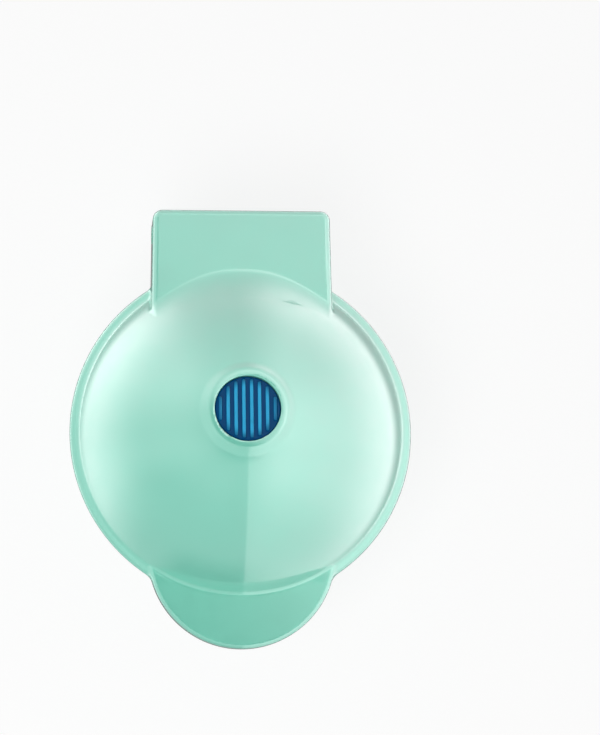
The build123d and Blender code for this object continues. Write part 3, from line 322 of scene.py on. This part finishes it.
# ---------------------------------------------------------------- materials
METRE = 1000.0  # in millimetres
WAVE_TURN = 6.2832
class Finish:
    """One material, with short calls for the nodes that give it its detail."""

    def __init__(self, name, colour, roughness, metallic=0.0, **sockets):
        self.made = bpy.data.materials.new(name)
        self.made.use_nodes = True
        self.tree = self.made.node_tree
        self.shader = self.tree.nodes["Principled BSDF"]
        self.colour = colour
        self.roughness = roughness
        self.shader.inputs["Base Color"].default_value = (*colour, 1)
        self.shader.inputs["Roughness"].default_value = roughness
        self.shader.inputs["Metallic"].default_value = metallic
        for socket, value in sockets.items():
            self.shader.inputs[socket.replace("_", " ")].default_value = value
        self.place = self.tree.nodes.new("ShaderNodeTexCoord").outputs["Object"]

    def node(self, kind, inputs, **settings):
        made = self.tree.nodes.new("ShaderNode" + kind)
        for name, value in settings.items():
            setattr(made, name, value)
        for socket, value in inputs.items():
            target = made.inputs[socket]
            if isinstance(value, bpy.types.NodeSocket):
                self.tree.links.new(value, target)
            else:
                target.default_value = value
        return made

    def noise(self, size, detail=3.0):
        """Cloudy pattern from 0 to 1, with lumps of a size in millimetres."""
        place = self.node("Mapping", {"Vector": self.place}).outputs[0]
        settings = {"Vector": place, "Scale": METRE / size, "Detail": detail}
        return self.node("TexNoise", settings).outputs[0]

    def cells(self, size, feature="F1"):
        """Distance pattern of cells of a size in millimetres."""
        settings = {"Vector": self.place, "Scale": METRE / size}
        return self.node("TexVoronoi", settings, feature=feature).outputs[0]

    def waves(self, size, direction, distortion=0.0):
        """Parallel bands of a size in millimetres across one direction."""
        scale = METRE / size / WAVE_TURN * 2
        settings = {"Vector": self.place, "Scale": scale, "Distortion": distortion}
        return self.node("TexWave", settings, bands_direction=direction).outputs[1]

    def spread(self, pattern, low, high, first=0.35, last=0.65):
        """Pattern from first to last, turned into numbers from low to high."""
        inputs = {"Value": pattern, "From Min": first, "From Max": last}
        inputs.update({"To Min": low, "To Max": high})
        return self.node("MapRange", inputs, interpolation_type="SMOOTHSTEP").outputs[0]

    def tint(self, pattern, other, first=0.35, last=0.65):
        """Colour that goes from the material's own to another one with a pattern."""
        start = self.shader.inputs["Base Color"]
        own = start.links[0].from_socket if start.links else (*self.colour, 1)
        share = self.spread(pattern, 0.0, 1.0, first, last)
        mixed = self.node("Mix", {0: share, 6: own, 7: (*other, 1)}, data_type="RGBA").outputs[2]
        self.tree.links.new(mixed, start)
        return self

    def rough(self, pattern, change, first=0.35, last=0.65):
        value = self.spread(pattern, self.roughness - change, self.roughness + change, first, last)
        self.tree.links.new(value, self.shader.inputs["Roughness"])
        return self

    def bump(self, pattern, height):
        """Relief of a height in millimetres."""
        inputs = {"Height": pattern, "Distance": height * MM, "Strength": 1.0}
        start = self.shader.inputs["Normal"]
        if start.links:
            inputs["Normal"] = start.links[0].from_socket
        self.tree.links.new(self.node("Bump", inputs).outputs[0], start)
        return self


def shade(colour, gain):
    return tuple(min(channel * gain, 1.0) for channel in colour)


def mint_plastic():
    colour = (0.17, 0.60, 0.46)
    made = Finish("mint_gloss", colour, 0.32, Coat_Weight=1.0, Coat_IOR=1.8, Coat_Roughness=0.05)
    made.tint(made.noise(38.0, 2.0), shade(colour, 0.965)).rough(made.noise(6.0), 0.04)
    return made.bump(made.noise(2.2, 2.0), 0.004).made


def blue_window():
    """Dark blue window with a painted highlight on its ribs' tops, strongest in the middle."""
    colour = (0.0, 0.055, 0.17)
    # painted highlight: the ribs' tops get a lighter blue, full near the middle and weaker towards
    # the rim
    middle_painted_light, rim_painted_light, middle_painted_light_reach, rim_painted_light_reach = 1.0, 0.25, 7 * MM, 11.5 * MM
    made = Finish("window_blue", colour, 0.14, Specular_IOR_Level=0.06)
    axis = (0, sin(WINDOW_LEAN) / MM, cos(WINDOW_LEAN) / MM)
    height = made.node("VectorMath", {0: made.place, 1: axis}, operation="DOT_PRODUCT")
    face = LENS_FACE - DOME_CENTRE * (1 - cos(WINDOW_LEAN))
    middle = (0, WINDOW_Y * MM, (LENS_FACE + RIB_HEIGHT) * MM)
    out = made.node("VectorMath", {0: made.place, 1: middle}, operation="DISTANCE")
    top = made.spread(height.outputs["Value"], 0.0, 1.0, face + 0.02, face + RIB_HEIGHT + 0.06)
    near = made.spread(out.outputs["Value"], middle_painted_light, rim_painted_light, middle_painted_light_reach, rim_painted_light_reach)
    painted_rib_light = made.node("Math", {0: top, 1: near}, operation="MULTIPLY").outputs[0]
    # the first tint paints the highlight onto the ribs' tops; the second is a random darker tone
    made.tint(painted_rib_light, (0.035, 0.42, 0.74), 0.0, 1.0).tint(made.noise(4.0), (0.0, 0.05, 0.15), 0.5, 1.3)
    return made.bump(made.noise(3.0), 0.006).made


def plate_metal():
    made = Finish("plate_coating", (0.035, 0.036, 0.040), 0.40)
    made.tint(made.cells(0.7), (0.085, 0.085, 0.09), 0.16, 0.04).rough(made.noise(5.0), 0.08)
    return made.bump(made.noise(0.8, 4.0), 0.02).made


def zinc_steel():
    made = Finish("zinc_sheet", (0.62, 0.63, 0.64), 0.33, 1.0)
    made.tint(made.cells(2.6), (0.50, 0.52, 0.55), 0.15, 0.75).rough(made.noise(1.8), 0.09)
    return made.bump(made.noise(0.5, 4.0), 0.004).made


def heater_sheath():
    made = Finish("heater_tube", (0.32, 0.30, 0.28), 0.42, 1.0)
    made.tint(made.noise(14.0), (0.22, 0.17, 0.15))
    made.tint(made.noise(22.0), (0.24, 0.26, 0.33), 0.55, 0.75)
    return made.rough(made.noise(3.0), 0.1).bump(made.noise(0.6), 0.01).made


def pin_steel():
    made = Finish("ground_pin", (0.55, 0.56, 0.58), 0.24, 1.0)
    made.tint(made.noise(2.5), (0.47, 0.48, 0.50)).rough(made.noise(1.2), 0.07)
    return made.bump(made.waves(0.2, "X", 2.0), 0.003).made


def phenolic():
    made = Finish("phenolic_brown", (0.09, 0.05, 0.03), 0.48)
    made.tint(made.noise(0.6, 4.0), (0.15, 0.085, 0.05), 0.5, 0.75).rough(made.noise(2.0), 0.08)
    return made.bump(made.noise(0.4), 0.01).made


def fuse_body():
    made = Finish("tinned_can", (0.70, 0.66, 0.55), 0.34, 1.0)
    made.tint(made.noise(2.0), (0.58, 0.55, 0.47)).rough(made.noise(1.0), 0.08)
    return made.bump(made.noise(0.5), 0.006).made


def lead_sleeve():
    made = Finish("braided_sleeve", (0.75, 0.74, 0.70), 0.75)
    across, along = made.waves(0.5, "DIAGONAL"), made.waves(0.5, "Z")
    weave = made.node("Math", {0: across, 1: along}, operation="MULTIPLY").outputs[0]
    return made.tint(weave, (0.58, 0.57, 0.53), 0.4, 0.0).rough(weave, 0.08).bump(weave, 0.06).made


def white_nylon():
    made = Finish("natural_nylon", (0.80, 0.80, 0.78), 0.45)
    made.tint(made.noise(9.0), (0.76, 0.755, 0.72)).rough(made.noise(2.5), 0.06)
    return made.bump(made.noise(0.9), 0.01).made


def grey_rubber():
    made = Finish("foot_rubber", (0.10, 0.10, 0.10), 0.78)
    made.tint(made.noise(4.0), (0.135, 0.135, 0.132)).rough(made.noise(1.5), 0.08)
    return made.bump(made.noise(0.35, 4.0), 0.03).made


def lamp_glass():
    made = Finish("lamp_glass", (0.95, 0.97, 1.0), 0.03, Transmission_Weight=1.0, IOR=1.47)
    return made.tint(made.noise(3.0), (0.90, 0.93, 0.96)).bump(made.noise(2.0), 0.01).made


finishes = {
    "mint_plastic": mint_plastic(),
    "plate_metal": plate_metal(),
    "zinc_steel": zinc_steel(),
    "heater_sheath": heater_sheath(),
    "pin_steel": pin_steel(),
    "phenolic": phenolic(),
    "fuse_body": fuse_body(),
    "lead_sleeve": lead_sleeve(),
    "white_nylon": white_nylon(),
    "grey_rubber": grey_rubber(),
    "blue_window": blue_window(),
    "lamp_glass": lamp_glass(),
}


# ---------------------------------------------------------------- pieces
def piece(name, field, low, high, step, body, node, slot):
    """Moulded piece that stands for one CAD node."""
    made = moulded(name, field, low, high, step)
    made.data.materials.append(finishes[slot])
    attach(made, body)
    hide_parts(node)


LID_BOX = (-65, -81.5, 51.0), (65, 83.5, 98.0)
LENS_BOX = (-14.6, -11.0, 86.5), (14.6, 20.0, 97.0)
LENS_STEP = 0.25
lid_step = 0.65
piece("lid_cover", lid_field, *LID_BOX, lid_step, "lid", "lid_shell", "mint_plastic")
piece("window_lens", lens_field, *LENS_BOX, LENS_STEP, "lid", "indicator_lens", "blue_window")

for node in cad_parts.values():
    for node_slot in node.material_slots:
        node_slot.material = finishes[node_slot.material.name]


# ---------------------------------------------------------------- stage and light
def soften(data, fade):
    """Lets a lamp's brightness run out towards its edges."""
    data.use_nodes = True
    tree = data.node_tree
    across = tree.nodes.new("ShaderNodeSeparateXYZ")
    tree.links.new(tree.nodes.new("ShaderNodeNewGeometry").outputs["Parametric"], across.inputs[0])
    share = None
    for axis in (0, 1):
        for start, end in ((0.0, fade), (1.0, 1.0 - fade)):
            node = tree.nodes.new("ShaderNodeMapRange")
            node.interpolation_type = "SMOOTHSTEP"
            node.inputs["From Min"].default_value = start
            node.inputs["From Max"].default_value = end
            tree.links.new(across.outputs[axis], node.inputs["Value"])
            if share:
                tree.links.new(share, node.inputs["To Max"])
            share = node.outputs[0]
    tree.links.new(share, tree.nodes["Emission"].inputs["Strength"])


def panel(name, middle, towards, size, radiance, diffuse=True, glossy=True, fade=0.0, roll=0.0):
    """Rectangular soft light: size is its width and height in metres, fade its soft share."""
    data = bpy.data.lights.new(name, "AREA")
    data.shape = "RECTANGLE"
    data.size, data.size_y = size
    data.energy = radiance * pi * size[0] * size[1]
    lamp = bpy.data.objects.new(name, data)
    turn = (Vector(towards) - Vector(middle)).to_track_quat("-Z", "Y").to_matrix().to_4x4()
    lamp.matrix_world = Matrix.Translation(middle) @ turn @ Matrix.Rotation(radians(roll), 4, "Z")
    lamp.visible_diffuse, lamp.visible_glossy = diffuse, glossy
    bpy.context.collection.objects.link(lamp)
    if fade:
        soften(data, fade)


floor_mesh = bpy.data.meshes.new("floor")
floor_mesh.from_pydata([(-3, -3, 0), (3, -3, 0), (3, 3, 0), (-3, 3, 0)], [], [(0, 1, 2, 3)])
floor = bpy.data.objects.new("floor", floor_mesh)
bpy.context.collection.objects.link(floor)
floor.visible_glossy = False
FLOOR_GLOW = 0.86
ground = Finish("floor_white", (0.30, 0.30, 0.30), 0.9)
glow = ground.node("Emission", {}).outputs[0]
seen = ground.node("LightPath", {}).outputs["Is Camera Ray"]
ground.tint(seen, (0.95, 0.95, 0.95), 0.0, 1.0).bump(ground.noise(1.5), 0.02)
share = ground.node("Math", {0: seen, 1: FLOOR_GLOW}, operation="MULTIPLY").outputs[0]
blend = ground.node("MixShader", {0: share, 1: ground.shader.outputs[0], 2: glow}).outputs[0]
ground.tree.links.new(blend, ground.tree.nodes["Material Output"].inputs[0])
floor.data.materials.append(ground.made)

world = bpy.data.worlds.new("studio")
bpy.context.scene.world = world
world.use_nodes = True
tree = world.node_tree
direction = tree.nodes.new("ShaderNodeSeparateXYZ")
tree.links.new(tree.nodes.new("ShaderNodeTexCoord").outputs["Generated"], direction.inputs[0])


def ramp(axis, start, end, low=0.0, high=1.0):
    """Number that goes smoothly from low to high with one part of the direction."""
    node = tree.nodes.new("ShaderNodeMapRange")
    node.interpolation_type = "SMOOTHSTEP"
    for name, value in (("From Min", start), ("From Max", end), ("To Min", low), ("To Max", high)):
        node.inputs[name].default_value = value
    tree.links.new(direction.outputs[axis], node.inputs["Value"])
    return node.outputs[0]


def reckon(operation, *values):
    """Sum or product of several numbers and sockets."""
    total = values[0]
    for value in values[1:]:
        node = tree.nodes.new("ShaderNodeMath")
        node.operation = operation
        for socket, part in zip(node.inputs, (total, value)):
            if isinstance(part, float):
                socket.default_value = part
            else:
                tree.links.new(part, socket)
        total = node.outputs[0]
    return total


def product(*values):
    return reckon("MULTIPLY", *values)


# What reflections show of the studio, over a plain level of 1. Each row is a gain and the ramps
# that bound it: part of the direction, start, end and, where they aren't 0 and 1, the two values.
PATCHES = (
    (1.4, ("X", -0.05, 0.45), ("Y", -1.0, -0.3)),
    (1.3, ("X", 0.0, 0.5), ("Y", -0.40, 0.0), ("Y", 0.7, 0.2, 0.6, 1.0)),
    (1.1, ("Y", 0.0, 0.6), ("X", 0.5, -0.1)),
    (1.0, ("X", 0.06, 0.085), ("Y", -0.05, -0.4)),
    (0.7, ("X", -0.15, -0.6), ("Y", -0.5, -0.1)),
    (1.8, ("X", -0.3, -0.75), ("Z", 0.5, -0.25), ("Y", -0.75, -0.3)),
    (0.6, ("X", 0.0, 0.4), ("Y", -0.75, -0.15), ("Z", 0.4, -0.1)),
    (-0.7, ("X", 0.4, 0.0), ("X", -0.6, -0.35), ("Y", -0.3, -0.6), ("Z", 0.2, -0.2)),
)
PATCHES_END = ("Z", -0.50, -0.34)
DARKER_ABOVE = ("Z", 0.99, 0.93, 0.1, 1.0)
DARKER_BELOW = ("Z", -0.9, -0.5, 0.3, 1.0)
DIFFUSE_LEVEL, CAMERA_LEVEL = 0.27, 1.0

patches = [product(gain, *(ramp(*edge) for edge in edges)) for gain, *edges in PATCHES]
sides = product(reckon("ADD", *patches), ramp(*PATCHES_END))
around = product(reckon("ADD", 1.0, sides), ramp(*DARKER_ABOVE), ramp(*DARKER_BELOW))

backgrounds = []
for strength in (DIFFUSE_LEVEL, around, CAMERA_LEVEL):
    node = tree.nodes.new("ShaderNodeBackground")
    node.inputs["Color"].default_value = (1, 1, 1, 1)
    if isinstance(strength, float):
        node.inputs["Strength"].default_value = strength
    else:
        tree.links.new(strength, node.inputs["Strength"])
    backgrounds.append(node.outputs[0])
path = tree.nodes.new("ShaderNodeLightPath")
shown = backgrounds[0]
for ray, background in (("Is Glossy Ray", backgrounds[1]), ("Is Camera Ray", backgrounds[2])):
    mix = tree.nodes.new("ShaderNodeMixShader")
    tree.links.new(path.outputs[ray], mix.inputs[0])
    tree.links.new(shown, mix.inputs[1])
    tree.links.new(background, mix.inputs[2])
    shown = mix.outputs[0]
tree.links.new(shown, tree.nodes["World Output"].inputs[0])

panel("key", (-0.36, -0.50, 1.20), (0, 0, 0.06), (0.7, 0.7), 7.6, glossy=False)
panel("overhead", (0.205, 0.235, 1.06), (0.205, 0.235, 0), (0.6, 1.0), 1.6,
      diffuse=False, fade=0.3, roll=35)

bpy.context.scene.view_settings.view_transform = "Standard"
